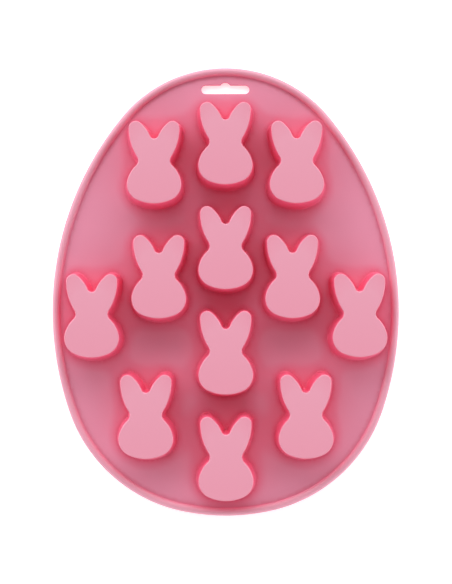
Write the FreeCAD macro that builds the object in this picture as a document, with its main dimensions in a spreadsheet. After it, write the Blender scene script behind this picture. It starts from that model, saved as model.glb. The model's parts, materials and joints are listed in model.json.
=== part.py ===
import FreeCAD, Part
import Sketcher
import math
import os
from collections import namedtuple
from FreeCAD import Vector

# Silicone soap mould: a flat egg-shaped sheet with a beaded rim and a hanging slot, and twelve
# cups in the shape of a plain rabbit's head.  It lies on its open face, so z = 0 is the plane of
# the mouths, the floors of the cups stand up along +Z, and +Y points at the hanging slot.
# All sizes are in millimetres and degrees.

doc = FreeCAD.newDocument("soap_mould")

# ---------------------------------------------------------------- driving dimensions

DRIVING = [
    ("sheet_thickness", 2.0, "flat sheet between the cups"),
    ("rim_width", 4.8, "bead round the edge of the sheet, across"),
    ("rim_height", 4.7, "bead, from the open face to its crown"),
    ("rim_flat", 0.2, "flat along the crown of the bead, between its two roundings"),
    ("widest_lift", 4.5, "widest place of the mould, above the middle of the outer pair"),
    ("side_turn", 19.4, "direction in which the side gives way to the corner, below level"),
    ("corner_turn", 77.93, "direction in which the corner gives way to the end, below level"),
    ("cup_rise", 20.0, "cup floor above the sheet"),
    ("wall", 2.0, "cup wall, level"),
    ("floor_thickness", 2.0, "cup floor"),
    ("draft_angle", 5.0, "slope of the cup walls from upright"),
    ("floor_round", 0.8, "outer edge of the cup floor"),
    ("inner_round", 0.8, "inner edge of the cup floor"),
    ("cup_length", 54.1, "cup floor from chin to ear tips"),
    ("head_width", 35.45, "cup floor across the cheeks"),
    ("head_height", 28.15, "chin to the narrowest place below the ears"),
    ("cheek_radius", 11.25, "cheeks"),
    ("cheek_rise", 12.64, "centre of the cheeks above the chin"),
    ("shoulder_radius", 19.0, "side of the head above the cheek"),
    ("neck_radius", 4.6, "hollow between head and ear"),
    ("neck_inset", 7.35, "hollow, in from the widest place of the cheeks"),
    ("ear_outer_radius", 35.4, "outer side of an ear"),
    ("ear_tip_radius", 4.55, "ear tip"),
    ("ear_inset", 5.65, "centre of the ear tip, in from the cheeks"),
    ("ear_inner_radius", 22.3, "inner side of an ear"),
    ("cleft_radius", 2.85, "bottom of the cleft between the ears"),
    ("cleft_depth", 11.65, "cleft, down from the ear tips"),
    ("slot_length", 32.0, "hanging slot, end to end"),
    ("slot_width", 5.8, "hanging slot, across"),
    ("hump_radius", 3.9, "round notch in the middle of the slot's upper edge"),
    ("hump_rise", 1.8, "notch above the slot's upper edge"),
    ("slot_land", 6.6, "sheet between the slot and the bead"),
    ("slot_web", 7.5, "sheet between the slot and the nearest cup"),
    ("row_web", 10.7, "sheet between the cups of the middle column"),
    ("column_web", 4.5, "sheet between the cups of a row"),
    ("base_land", 5.25, "sheet between the last cup and the bead"),
    ("edge_land", 3.6, "sheet between the outermost cups and the bead"),
    ("upper_spread", 3.05, "upper pair, further out than the inner pair"),
    ("lower_spread", 8.25, "lower pair, further out than the inner pair"),
    ("upper_drop", 12.4, "upper pair, below the first cup of the column"),
    ("inner_drop", 18.9, "inner pair, below the second cup of the column"),
    ("outer_drop", 44.2, "outer pair, below the second cup of the column"),
    ("lower_lift", 27.1, "lower pair, above the last cup of the column"),
]

# Sizes that follow from the driving ones.  growth is how far the draft carries the foot of a cup
# wall out from the outline of its floor.  The chin is the circle which touches the lower end of the
# floor and both cheeks.  The crown of the mould is the circle which touches the narrow end and
# passes the ear tips of the upper pair with the edge land and the bead between; the side is the
# circle which touches the crown and is upright at the widest place.  The corner and the end share
# the width and the length that the side leaves over (side_reach and side_fall), each over its own
# part of the turn: two linear equations, whose determinant is turn_balance.
DERIVED = [
    ("total_height", "=sheet_thickness + cup_rise"),
    ("rim_round", "=(rim_width - rim_flat) / 2"),
    ("growth", "=cup_rise * tan(draft_angle * 1 deg)"),
    ("cavity_depth", "=total_height - floor_thickness"),
    ("cavity_inset", "=wall - floor_thickness * tan(draft_angle * 1 deg)"),
    ("mould_length", "=2 * rim_width + slot_land + slot_width + slot_web + base_land"
                     " + 4 * (cup_length + 2 * growth) + 3 * row_web"),
    ("column_pitch", "=head_width + 2 * growth + column_web"),
    ("row_pitch", "=cup_length + 2 * growth + row_web"),
    ("half_width", "=2 * column_pitch + head_width / 2 + growth + edge_land + rim_width"),
    ("slot_y", "=mould_length / 2 - rim_width - slot_land - slot_width / 2"),
    ("first_y", "=slot_y - slot_width / 2 - slot_web - growth - cup_length / 2"),
    ("second_y", "=first_y - row_pitch"),
    ("third_y", "=second_y - row_pitch"),
    ("last_y", "=third_y - row_pitch"),
    ("upper_x", "=column_pitch + upper_spread"),
    ("upper_y", "=first_y - upper_drop"),
    ("inner_y", "=second_y - inner_drop"),
    ("outer_x", "=2 * column_pitch"),
    ("outer_y", "=second_y - outer_drop"),
    ("lower_x", "=column_pitch + lower_spread"),
    ("lower_y", "=last_y + lower_lift"),
    ("cheek_x", "=head_width / 2 - cheek_radius"),
    ("cheek_y", "=cheek_rise - cup_length / 2"),
    ("chin_radius", "=(cheek_x ^ 2 + cheek_rise ^ 2 - cheek_radius ^ 2)"
                    " / (2 * (cheek_rise - cheek_radius))"),
    ("chin_y", "=chin_radius - cup_length / 2"),
    ("neck_x", "=head_width / 2 - neck_inset + neck_radius"),
    ("neck_y", "=head_height - cup_length / 2"),
    ("tip_x", "=head_width / 2 - ear_inset"),
    ("tip_y", "=cup_length / 2 - ear_tip_radius"),
    ("cleft_y", "=cup_length / 2 - cleft_depth + cleft_radius"),
    ("ear_reach", "=upper_x + tip_x"),
    ("ear_below", "=mould_length / 2 - upper_y - tip_y"),
    ("ear_margin", "=ear_tip_radius + growth + edge_land + rim_width"),
    ("crown_radius", "=(ear_reach ^ 2 + ear_below ^ 2 - ear_margin ^ 2)"
                     " / (2 * (ear_below - ear_margin))"),
    ("crown_y", "=mould_length / 2 - crown_radius"),
    ("side_y", "=outer_y + widest_lift"),
    ("side_radius", "=((crown_y - side_y) ^ 2 + half_width ^ 2 - crown_radius ^ 2)"
                    " / (2 * (half_width - crown_radius))"),
    ("side_x", "=half_width - side_radius"),
    ("side_cos", "=cos(side_turn * 1 deg)"),
    ("side_sin", "=sin(side_turn * 1 deg)"),
    ("corner_cos", "=cos(corner_turn * 1 deg)"),
    ("corner_sin", "=sin(corner_turn * 1 deg)"),
    ("side_reach", "=half_width - side_radius * (1 - side_cos)"),
    ("side_fall", "=side_y + mould_length / 2 - side_radius * side_sin"),
    ("turn_balance", "=corner_cos * (corner_sin - side_sin)"
                     " - (side_cos - corner_cos) * (1 - corner_sin)"),
    ("end_radius", "=(side_reach * (corner_sin - side_sin)"
                   " - side_fall * (side_cos - corner_cos)) / turn_balance"),
    ("corner_radius", "=(side_fall * corner_cos - side_reach * (1 - corner_sin))"
                      " / turn_balance"),
    ("corner_x", "=(end_radius - corner_radius) * corner_cos"),
    ("corner_y", "=end_y - (end_radius - corner_radius) * corner_sin"),
    ("end_y", "=end_radius - mould_length / 2"),
    ("hump_y", "=slot_width / 2 + hump_rise - hump_radius"),
]

sizes = doc.addObject("Spreadsheet::Sheet", "Sizes")
for row, (alias, value, meaning) in enumerate(DRIVING, start=1):
    sizes.set("A%d" % row, str(value))
    sizes.set("B%d" % row, meaning)
    sizes.setAlias("A%d" % row, alias)
for row, (alias, formula) in enumerate(DERIVED, start=len(DRIVING) + 2):
    sizes.set("A%d" % row, formula)
    sizes.setAlias("A%d" % row, alias)
doc.recompute()


def size(alias):
    """Value of one named size."""
    return float(sizes.get(alias))


# ---------------------------------------------------------------- outlines made of tangent arcs

# One arc of a closed outline, listed anticlockwise.  bulge is +1 where the outline is convex and
# -1 where it is hollow; radius names a cell; x and y are expressions that hold the centre, or None
# where the neighbouring arcs already fix it.
Arc = namedtuple("Arc", "centre bulge radius x y")


def tangent_centre(first, first_reach, second, second_reach):
    """Centre at the two given distances from two points, on the left of the line between them."""
    along = second - first
    gap = along.Length
    foot = (first_reach ** 2 - second_reach ** 2 + gap ** 2) / (2 * gap)
    rise = math.sqrt(first_reach ** 2 - foot ** 2)
    along.normalize()
    across = Vector(-along.y, along.x, 0)
    return first + along * foot + across * rise


def mirrored(arc):
    """The same arc on the other side of the YZ plane."""
    centre = Vector(-arc.centre.x, arc.centre.y, 0)
    return arc._replace(centre=centre, x="-(%s)" % arc.x if arc.x else None)


def egg_outline():
    """Edge of the mould: broad end, corners, sides and crown, each tangent to the next."""
    end = Vector(0, size("end_y"), 0)
    corner = Vector(size("corner_x"), size("corner_y"), 0)
    side = Vector(size("side_x"), size("side_y"), 0)
    crown = Vector(0, size("crown_y"), 0)
    right = [Arc(corner, 1, "corner_radius", None, None),
             Arc(side, 1, "side_radius", "Sizes.side_x", None)]
    left = [mirrored(arc) for arc in reversed(right)]
    return ([Arc(end, 1, "end_radius", "0", "Sizes.end_y")] + right
            + [Arc(crown, 1, "crown_radius", "0", "Sizes.crown_y")] + left)


def head_outline():
    """Rabbit's head about its own centre: chin, cheeks, shoulders, hollows, ears and cleft."""
    chin = Vector(0, size("chin_y"), 0)
    cheek = Vector(size("cheek_x"), size("cheek_y"), 0)
    neck = Vector(size("neck_x"), size("neck_y"), 0)
    tip = Vector(size("tip_x"), size("tip_y"), 0)
    cleft = Vector(0, size("cleft_y"), 0)
    shoulder = tangent_centre(cheek, size("shoulder_radius") - size("cheek_radius"),
                              neck, size("shoulder_radius") + size("neck_radius"))
    ear_outer = tangent_centre(neck, size("ear_outer_radius") + size("neck_radius"),
                               tip, size("ear_outer_radius") - size("ear_tip_radius"))
    ear_inner = tangent_centre(tip, size("ear_inner_radius") - size("ear_tip_radius"),
                               cleft, size("ear_inner_radius") + size("cleft_radius"))
    right = [Arc(cheek, 1, "cheek_radius", "Sizes.cheek_x", None),
             Arc(shoulder, 1, "shoulder_radius", None, None),
             Arc(neck, -1, "neck_radius", "Sizes.neck_x", "Sizes.neck_y"),
             Arc(ear_outer, 1, "ear_outer_radius", None, None),
             Arc(tip, 1, "ear_tip_radius", "Sizes.tip_x", "Sizes.tip_y"),
             Arc(ear_inner, 1, "ear_inner_radius", None, None)]
    left = [mirrored(arc) for arc in reversed(right)]
    return ([Arc(chin, 1, "chin_radius", "0", "Sizes.chin_y")] + right
            + [Arc(cleft, -1, "cleft_radius", "0", "Sizes.cleft_y")] + left)


def meeting_point(one, other, grow):
    """Point where two neighbouring tangent arcs meet, both moved outwards by grow."""
    if one.bulge != other.bulge:
        convex, hollow = (one, other) if one.bulge > 0 else (other, one)
        direction = hollow.centre - convex.centre
        direction.normalize()
        return convex.centre + direction * (size(convex.radius) + grow)
    large, small = (one, other) if size(one.radius) > size(other.radius) else (other, one)
    direction = small.centre - large.centre
    direction.normalize()
    return large.centre + direction * (size(large.radius) + large.bulge * grow)


def draw_outline(sketch, arcs, grow=None):
    """Draw a closed chain of tangent arcs, moved outwards by the expression grow, fully tied."""
    moved = float(sizes.evalExpression(grow)) if grow else 0.0
    count = len(arcs)
    joints = [meeting_point(arcs[i - 1], arcs[i], moved) for i in range(count)]
    base = sketch.GeometryCount
    for i, arc in enumerate(arcs):
        start, end = joints[i], joints[(i + 1) % count]
        if arc.bulge < 0:
            start, end = end, start
        angles = [math.atan2(p.y - arc.centre.y, p.x - arc.centre.x) for p in (start, end)]
        circle = Part.Circle(arc.centre, Vector(0, 0, 1), size(arc.radius) + arc.bulge * moved)
        sketch.addGeometry(Part.ArcOfCircle(circle, *angles), False)
    for i, arc in enumerate(arcs):
        here, after = base + i, base + (i + 1) % count
        leaves = 2 if arc.bulge > 0 else 1
        arrives = 1 if arcs[(i + 1) % count].bulge > 0 else 2
        sketch.addConstraint(Sketcher.Constraint("Tangent", here, leaves, after, arrives))
    for i, arc in enumerate(arcs):
        radius = size(arc.radius) + arc.bulge * moved
        held = sketch.addConstraint(Sketcher.Constraint("Radius", base + i, radius))
        sign = "+" if arc.bulge > 0 else "-"
        text = "Sizes.%s" % arc.radius
        sketch.setExpression("Constraints[%d]" % held,
                             "%s %s (%s)" % (text, sign, grow) if grow else text)
        for kind, place, text in (("DistanceX", arc.centre.x, arc.x),
                                  ("DistanceY", arc.centre.y, arc.y)):
            if text is None:
                continue
            if text == "0":
                sketch.addConstraint(Sketcher.Constraint("PointOnObject", base + i, 3, -2))
                continue
            held = sketch.addConstraint(Sketcher.Constraint(kind, -1, 1, base + i, 3, place))
            sketch.setExpression("Constraints[%d]" % held, text)


def new_sketch(body, name, height=None, place=None):
    """Sketch on the body's own XY plane, lifted by an expression and moved to a place."""
    plane = [f for f in body.Origin.OriginFeatures if f.Role == "XY_Plane"][0]
    sketch = body.newObject("Sketcher::SketchObject", name)
    sketch.AttachmentSupport = [(plane, "")]
    sketch.MapMode = "FlatFace"
    if height:
        sketch.setExpression("AttachmentOffset.Base.z", height)
    if place:
        sketch.setExpression("AttachmentOffset.Base.x", place[0])
        sketch.setExpression("AttachmentOffset.Base.y", place[1])
    return sketch


def new_body(name):
    """Empty body for one sub-part; its label is the name of the file that it goes to."""
    body = doc.addObject("PartDesign::Body", name)
    body.Label = name
    return body


def new_feature(body, kind, name, sketch, length, down=False, taper=None):
    """Pad or Pocket of one sketch, with its length and draft tied to expressions."""
    feature = body.newObject("PartDesign::" + kind, name)
    feature.Profile = sketch
    feature.setExpression("Length", length)
    feature.Reversed = down
    if taper:
        feature.setExpression("TaperAngle", taper)
    sketch.Visibility = False
    return feature


def new_fillet(body, name, base, height, radius):
    """Round every edge of the base feature that lies wholly at one height."""
    doc.recompute()
    level = size(height)
    edges = ["Edge%d" % (i + 1) for i, edge in enumerate(base.Shape.Edges)
             if abs(edge.BoundBox.ZMin - level) < 1e-4 and abs(edge.BoundBox.ZMax - level) < 1e-4]
    fillet = body.newObject("PartDesign::Fillet", name)
    fillet.Base = (base, edges)
    fillet.setExpression("Radius", radius)
    return fillet


# ---------------------------------------------------------------- where the cups stand

CUPS = {
    "cup_first": ("0", "Sizes.first_y"),
    "cup_second": ("0", "Sizes.second_y"),
    "cup_third": ("0", "Sizes.third_y"),
    "cup_last": ("0", "Sizes.last_y"),
}
for side, sign in (("left", "-"), ("right", "")):
    CUPS["cup_upper_" + side] = (sign + "Sizes.upper_x", "Sizes.upper_y")
    CUPS["cup_inner_" + side] = (sign + "Sizes.column_pitch", "Sizes.inner_y")
    CUPS["cup_outer_" + side] = (sign + "Sizes.outer_x", "Sizes.outer_y")
    CUPS["cup_lower_" + side] = (sign + "Sizes.lower_x", "Sizes.lower_y")

HEAD = head_outline()
EGG = egg_outline()


def build_rim():
    """Bead round the edge: a band between two offset outlines, its upper edges rounded."""
    body = new_body("rim_bead")
    sketch = new_sketch(body, "rim_outline")
    draw_outline(sketch, EGG)
    draw_outline(sketch, EGG, "-Sizes.rim_width")
    band = new_feature(body, "Pad", "rim_band", sketch, "Sizes.rim_height")
    new_fillet(body, "rim_rounding", band, "rim_height", "Sizes.rim_round")
    return body


def draw_slot(sketch):
    """Slot with round ends and a round notch in the middle of its upper edge."""
    half_length, half_width = size("slot_length") / 2, size("slot_width") / 2
    straight = half_length - half_width
    hump = Vector(0, size("hump_y"), 0)
    reach = math.sqrt(size("hump_radius") ** 2 - (half_width - hump.y) ** 2)
    dip = math.atan2(half_width - hump.y, reach)
    up = Vector(0, 0, 1)
    left, right = Vector(-straight, 0, 0), Vector(straight, 0, 0)
    quarter = math.pi / 2
    sketch.addGeometry([
        Part.LineSegment(Vector(-straight, -half_width, 0), Vector(straight, -half_width, 0)),
        Part.ArcOfCircle(Part.Circle(right, up, half_width), -quarter, quarter),
        Part.LineSegment(Vector(straight, half_width, 0), Vector(reach, half_width, 0)),
        Part.ArcOfCircle(Part.Circle(hump, up, size("hump_radius")), dip, math.pi - dip),
        Part.LineSegment(Vector(-reach, half_width, 0), Vector(-straight, half_width, 0)),
        Part.ArcOfCircle(Part.Circle(left, up, half_width), quarter, 3 * quarter)], False)
    lower, right_end, upper_right, notch, upper_left, left_end = range(6)
    for one, other in ((lower, right_end), (upper_left, left_end), (left_end, lower)):
        sketch.addConstraint(Sketcher.Constraint("Tangent", one, 2, other, 1))
    sketch.addConstraint(Sketcher.Constraint("Tangent", right_end, 2, upper_right, 1))
    sketch.addConstraint(Sketcher.Constraint("Coincident", upper_right, 2, notch, 1))
    sketch.addConstraint(Sketcher.Constraint("Coincident", notch, 2, upper_left, 1))
    sketch.addConstraint(Sketcher.Constraint("Horizontal", upper_right))
    sketch.addConstraint(Sketcher.Constraint("Horizontal", lower))
    sketch.addConstraint(Sketcher.Constraint("PointOnObject", right_end, 3, -1))
    sketch.addConstraint(Sketcher.Constraint("Symmetric", left_end, 3, right_end, 3, -1, 1))
    sketch.addConstraint(Sketcher.Constraint("PointOnObject", notch, 3, -2))
    for kind, where, value, text in (
            ("DistanceX", (-1, 1, right_end, 3), straight,
             "(Sizes.slot_length - Sizes.slot_width) / 2"),
            ("DistanceY", (-1, 1, notch, 3), hump.y, "Sizes.hump_y"),
            ("Radius", (right_end,), half_width, "Sizes.slot_width / 2"),
            ("Radius", (notch,), size("hump_radius"), "Sizes.hump_radius")):
        held = sketch.addConstraint(Sketcher.Constraint(kind, *where, value))
        sketch.setExpression("Constraints[%d]" % held, text)


def build_deck():
    """Flat sheet inside the bead, with one window for each cup and the hanging slot."""
    body = new_body("deck_sheet")
    sketch = new_sketch(body, "deck_outline")
    draw_outline(sketch, EGG, "-Sizes.rim_width")
    new_feature(body, "Pad", "deck_plate", sketch, "Sizes.sheet_thickness")
    slot = new_sketch(body, "slot_outline", place=("0", "Sizes.slot_y"))
    draw_slot(slot)
    new_feature(body, "Pocket", "slot_cut", slot, "Sizes.sheet_thickness", down=True)
    for name, place in CUPS.items():
        window = new_sketch(body, name + "_window_outline", place=place)
        draw_outline(window, HEAD, "Sizes.growth")
        new_feature(body, "Pocket", name + "_window", window, "Sizes.sheet_thickness", down=True)
    return body


def build_cup(name, place):
    """One cup: a drafted head on a straight skirt that fills its window, hollowed from below."""
    body = new_body(name)
    top = new_sketch(body, name + "_floor_outline", "Sizes.total_height")
    draw_outline(top, HEAD)
    new_feature(body, "Pad", name + "_head", top, "Sizes.cup_rise", down=True,
                taper="Sizes.draft_angle")
    foot = new_sketch(body, name + "_skirt_outline")
    draw_outline(foot, HEAD, "Sizes.growth")
    skirt = new_feature(body, "Pad", name + "_skirt", foot, "Sizes.sheet_thickness")
    new_fillet(body, name + "_rounding", skirt, "total_height", "Sizes.floor_round")
    hollow = new_sketch(body, name + "_cavity_outline", "Sizes.cavity_depth")
    draw_outline(hollow, HEAD, "-Sizes.cavity_inset")
    cavity = new_feature(body, "Pocket", name + "_cavity", hollow, "Sizes.cavity_depth",
                         taper="Sizes.draft_angle")
    new_fillet(body, name + "_inner_rounding", cavity, "cavity_depth", "Sizes.inner_round")
    body.setExpression("Placement.Base.x", place[0])
    body.setExpression("Placement.Base.y", place[1])
    return body


pieces = [build_rim(), build_deck()]
pieces += [build_cup(name, place) for name, place in CUPS.items()]
doc.recompute()

for item in doc.Objects:
    if any(word in item.State for word in ("Invalid", "Error")):
        raise RuntimeError("%s did not build: %s" % (item.Name, item.State))
for piece in pieces:
    if piece.Shape.isNull() or not piece.Shape.isValid() or len(piece.Shape.Solids) != 1:
        raise RuntimeError("%s is not one valid solid" % piece.Label)

os.makedirs("parts", exist_ok=True)
for piece in pieces:
    piece.Shape.exportStep("parts/%s.step" % piece.Label)
    box = piece.Shape.BoundBox
    print("%-18s volume %10.1f  x %8.2f %8.2f  y %8.2f %8.2f  z %6.2f %6.2f" % (
        piece.Label, piece.Shape.Volume, box.XMin, box.XMax, box.YMin, box.YMax,
        box.ZMin, box.ZMax))
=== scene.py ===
import json
import logging
import math
from dataclasses import dataclass, field
from enum import Enum
from typing import Any, Callable

import bmesh
import bpy
import numpy as np
from mathutils import Matrix, Vector, geometry


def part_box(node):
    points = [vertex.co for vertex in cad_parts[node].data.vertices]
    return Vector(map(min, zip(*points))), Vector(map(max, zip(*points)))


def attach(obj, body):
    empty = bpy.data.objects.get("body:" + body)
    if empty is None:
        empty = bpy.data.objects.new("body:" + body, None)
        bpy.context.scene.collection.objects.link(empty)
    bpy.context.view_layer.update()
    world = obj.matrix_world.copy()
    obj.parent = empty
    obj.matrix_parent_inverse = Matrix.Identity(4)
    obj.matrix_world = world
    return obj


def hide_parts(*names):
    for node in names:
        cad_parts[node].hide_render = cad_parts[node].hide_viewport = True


# Looks of a silicone soap mould: an egg-shaped sheet with a beaded rim and a hanging slot, and
# twelve rabbit-head cups standing up from it.  Lengths are metres in the frame of the CAD model;
# MM turns the millimetres of the size fields into them.

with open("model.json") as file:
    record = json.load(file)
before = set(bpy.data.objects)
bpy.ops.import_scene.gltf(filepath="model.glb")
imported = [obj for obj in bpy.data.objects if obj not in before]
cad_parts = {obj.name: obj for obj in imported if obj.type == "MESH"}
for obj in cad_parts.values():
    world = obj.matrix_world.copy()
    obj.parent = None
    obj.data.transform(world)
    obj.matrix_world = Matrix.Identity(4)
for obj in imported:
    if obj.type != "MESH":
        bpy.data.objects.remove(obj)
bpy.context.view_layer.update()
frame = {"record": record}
MM = 0.001
LOG = logging.getLogger("mould")

# Mesh attribute of painted shade: how much darker crimson the rubber is painted, from 0 to 1.
PAINTED_SHADE_ATTRIBUTE = "shelter"       # mesh attribute: how far the rubber shows its deep colour, from 0 to 1
SLOT_MOUNT = "hanging_slot"
CHUNK = 500               # points whose distances are worked out at a time
REPEAT = 1e-6             # mm between two points of a loop that are one and the same
CLOSE = 1e-5              # mm within which the triangulation takes two points for one
WIDEST_ABOVE_OUTER = 4.5  # mm from the outer cups' middle up to the mould's widest place

Array = np.ndarray
Grow = float | Array


class Bulge(Enum):
    """Which way an arc of an outline bends: it widens with the outline, or it narrows."""

    CONVEX = 1
    HOLLOW = -1


class Place(Enum):
    """The twelve cups, named as the CAD nodes are."""

    FIRST = "cup_first"
    SECOND = "cup_second"
    THIRD = "cup_third"
    LAST = "cup_last"
    UPPER_LEFT = "cup_upper_left"
    UPPER_RIGHT = "cup_upper_right"
    INNER_LEFT = "cup_inner_left"
    INNER_RIGHT = "cup_inner_right"
    OUTER_LEFT = "cup_outer_left"
    OUTER_RIGHT = "cup_outer_right"
    LOWER_LEFT = "cup_lower_left"
    LOWER_RIGHT = "cup_lower_right"


# ---------------------------------------------------------------- outlines


@dataclass(frozen=True)
class Arc:
    """One arc of an outline: its centre, its radius and which way it bends."""

    centre: tuple[float, float]
    radius: float
    bulge: Bulge = Bulge.CONVEX


def tangent_centre(first: Array, first_reach: float, second: Array, second_reach: float) -> Array:
    """Point at two given distances from two points: the crossing of two circles.

    Args:
        first: centre of the first circle.
        first_reach: its radius.
        second: centre of the second circle.
        second_reach: its radius.

    Returns:
        The crossing on the left of the line from first to second.
    """
    along = second - first
    gap = np.hypot(*along)
    along = along / gap
    foot = (first_reach ** 2 - second_reach ** 2 + gap ** 2) / (2 * gap)
    rise = math.sqrt(first_reach ** 2 - foot ** 2)
    return first + along * foot + np.array([-along[1], along[0]]) * rise


def joint_angles(arcs: list[Arc]) -> Array:
    """Angles at which each arc of a half outline starts and ends.

    Two neighbouring arcs touch on the line through their centres, so each angle is the direction
    of that line, and it stays the same when the outline is moved in or out.

    Args:
        arcs: the arcs from the lowest point to the highest, on the right-hand side.

    Returns:
        One row per arc with its start and end angle, ready to be blended between.
    """
    angles = np.zeros((len(arcs), 2))
    angles[0, 0] = -math.pi / 2
    for i, (one, other) in enumerate(zip(arcs, arcs[1:])):
        away = np.subtract(other.centre, one.centre)
        if one.bulge is Bulge.HOLLOW:
            toward_one = toward_other = math.atan2(away[1], away[0])
            toward_other += math.pi
        elif other.bulge is Bulge.HOLLOW:
            toward_one = math.atan2(away[1], away[0])
            toward_other = toward_one + math.pi
        else:
            sign = 1 if one.radius > other.radius else -1
            toward_one = toward_other = math.atan2(sign * away[1], sign * away[0])
        angles[i, 1] = toward_one
        angles[i + 1, 0] = toward_other
    last = arcs[-1]
    angles[-1, 1] = math.pi / 2 if last.bulge is Bulge.CONVEX else -math.pi / 2
    for i, arc in enumerate(arcs):
        turn = (angles[i, 1] - angles[i, 0] + math.pi) % (2 * math.pi) - math.pi
        angles[i, 1] = angles[i, 0] + turn
    return angles


@dataclass
class Outline:
    """Closed outline, mirror-symmetric about x = 0, made of tangent arcs, which can be moved out.

    Args:
        arcs: the right-hand half, from the lowest point to the highest.
        steps: how many stretches each of those arcs is drawn with.
    """

    arcs: list[Arc]
    steps: list[int]

    def points(self, grow: Grow) -> Array:
        """Points of the outline moved outwards by grow.

        A point is the arc's centre plus its direction times radius + grow on a convex arc, and
        radius - grow on a hollow one.  A hollow arc on the axis that has shrunk away becomes the
        crossing of its two neighbours, and nothing passes the axis.

        Args:
            grow: one distance, or an array of K distances.

        Returns:
            K x N x 2 points (K = 1 for a plain number), anticlockwise from the lowest point.
        """
        grows = np.atleast_1d(np.asarray(grow, dtype=float))[:, None]
        angles = joint_angles(self.arcs)
        parts = []
        for arc, (start, end), steps in zip(self.arcs, angles, self.steps):
            turn = start + (end - start) * np.arange(steps)[None, :] / steps
            reach = np.maximum(arc.radius + arc.bulge.value * grows, 0.0)
            parts.append(np.stack([arc.centre[0] + reach * np.cos(turn),
                                   arc.centre[1] + reach * np.sin(turn)], axis=-1))
        half = np.concatenate(parts, axis=1)
        half = self._held_at_axis(half, grows)
        top = self._top(grows)
        mirror = half[:, :0:-1] * np.array([-1.0, 1.0])
        return np.concatenate([half, top[:, None], mirror], axis=1)

    def _top(self, grows: Array) -> Array:
        """Upper point on the axis: the end of the last arc, or the crossing of its neighbours.

        Args:
            grows: K x 1 distances by which the outline is moved out.

        Returns:
            K x 2 points.
        """
        last = self.arcs[-1]
        reach = last.radius + last.bulge.value * grows[:, 0]
        plain = last.centre[1] + last.bulge.value * np.maximum(reach, 0.0)
        if last.bulge is Bulge.HOLLOW:
            plain = np.where(reach < 0, self._crossing(grows), plain)
        return np.stack([np.zeros_like(plain), plain], axis=-1)

    def _crossing(self, grows: Array) -> Array:
        """Height at which the arc beside a shrunken hollow crosses the axis.

        The crossing is the arc's centre height, plus or minus the square root of its radius
        squared less the distance of its centre from the axis squared.

        Args:
            grows: K x 1 distances by which the outline is moved out.

        Returns:
            K heights.
        """
        beside = self.arcs[-2]
        reach = beside.radius + grows[:, 0]
        rise = np.sqrt(np.maximum(reach ** 2 - beside.centre[0] ** 2, 0.0))
        return beside.centre[1] - rise if beside.centre[1] > self.arcs[-1].centre[1] \
            else beside.centre[1] + rise

    def _held_at_axis(self, half: Array, grows: Array) -> Array:
        """Keeps the right half on its side of the axis where a hollow has shrunk away.

        Args:
            half: K x N x 2 points of the right half.
            grows: K x 1 distances by which the outline is moved out.

        Returns:
            The points, with those of the hollow and those past the axis put on the crossing.
        """
        last = self.arcs[-1]
        if last.bulge is Bulge.CONVEX:
            return half
        gone = (last.radius - grows[:, 0]) < 0
        count = self.steps[-1]
        crossing = self._crossing(grows)
        fold = np.zeros(half.shape[:2], dtype=bool)
        fold[:, -count:] = gone[:, None]
        fold |= (half[..., 0] < 0) & gone[:, None]
        held = np.stack([np.zeros_like(half[..., 0]),
                         np.broadcast_to(crossing[:, None], half.shape[:2])], axis=-1)
        return np.where(fold[..., None], held, half)


@dataclass(frozen=True)
class HeadShape:
    """Rabbit's head of a cup floor, in millimetres, about its own centre.

    The steps are the stretches of each arc: chin, cheek, shoulder, hollow, outer side of the
    ear, its tip, its inner side, and the cleft.  The tip's arc is number tip_arc, from zero.
    """

    length: float = 54.1
    width: float = 35.45
    head_height: float = 28.15
    chin_radius: float = 27.05
    cheek_radius: float = 11.25
    shoulder_radius: float = 19.0
    neck_radius: float = 4.6
    neck_inset: float = 7.35
    ear_outer_radius: float = 35.4
    ear_tip_radius: float = 4.55
    ear_inset: float = 5.65
    ear_inner_radius: float = 22.3
    cleft_radius: float = 2.85
    cleft_depth: float = 11.65
    steps: tuple[int, ...] = (10, 18, 8, 12, 14, 20, 12, 8)
    tip_arc: int = 5

    @property
    def tip_index(self) -> int:
        """Which point of the outline is the middle of the right ear's tip."""
        return sum(self.steps[:self.tip_arc]) + self.steps[self.tip_arc] // 2

    def outline(self) -> Outline:
        """Outline of the head, in millimetres.

        Chin, cheek, hollow, ear tip and cleft are placed by the sizes.  The shoulder and the two
        sides of the ear each touch the arcs on both of their sides.

        Returns:
            The arcs of the right-hand side in the order of the steps.
        """
        half_length, half_width = self.length / 2, self.width / 2
        chin = np.array([0.0, self.chin_radius - half_length])
        cheek_x = half_width - self.cheek_radius
        cheek_drop = math.sqrt((self.chin_radius - self.cheek_radius) ** 2 - cheek_x ** 2)
        cheek = np.array([cheek_x, chin[1] - cheek_drop])
        neck = np.array([half_width - self.neck_inset + self.neck_radius,
                         self.head_height - half_length])
        tip = np.array([half_width - self.ear_inset, half_length - self.ear_tip_radius])
        cleft = np.array([0.0, half_length - self.cleft_depth + self.cleft_radius])
        shoulder = tangent_centre(cheek, self.shoulder_radius - self.cheek_radius,
                                  neck, self.shoulder_radius + self.neck_radius)
        ear_outer = tangent_centre(neck, self.ear_outer_radius + self.neck_radius,
                                   tip, self.ear_outer_radius - self.ear_tip_radius)
        ear_inner = tangent_centre(tip, self.ear_inner_radius - self.ear_tip_radius,
                                   cleft, self.ear_inner_radius + self.cleft_radius)
        arcs = [Arc(tuple(chin), self.chin_radius), Arc(tuple(cheek), self.cheek_radius),
                Arc(tuple(shoulder), self.shoulder_radius),
                Arc(tuple(neck), self.neck_radius, Bulge.HOLLOW),
                Arc(tuple(ear_outer), self.ear_outer_radius), Arc(tuple(tip), self.ear_tip_radius),
                Arc(tuple(ear_inner), self.ear_inner_radius),
                Arc(tuple(cleft), self.cleft_radius, Bulge.HOLLOW)]
        return Outline(arcs, list(self.steps))


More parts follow.
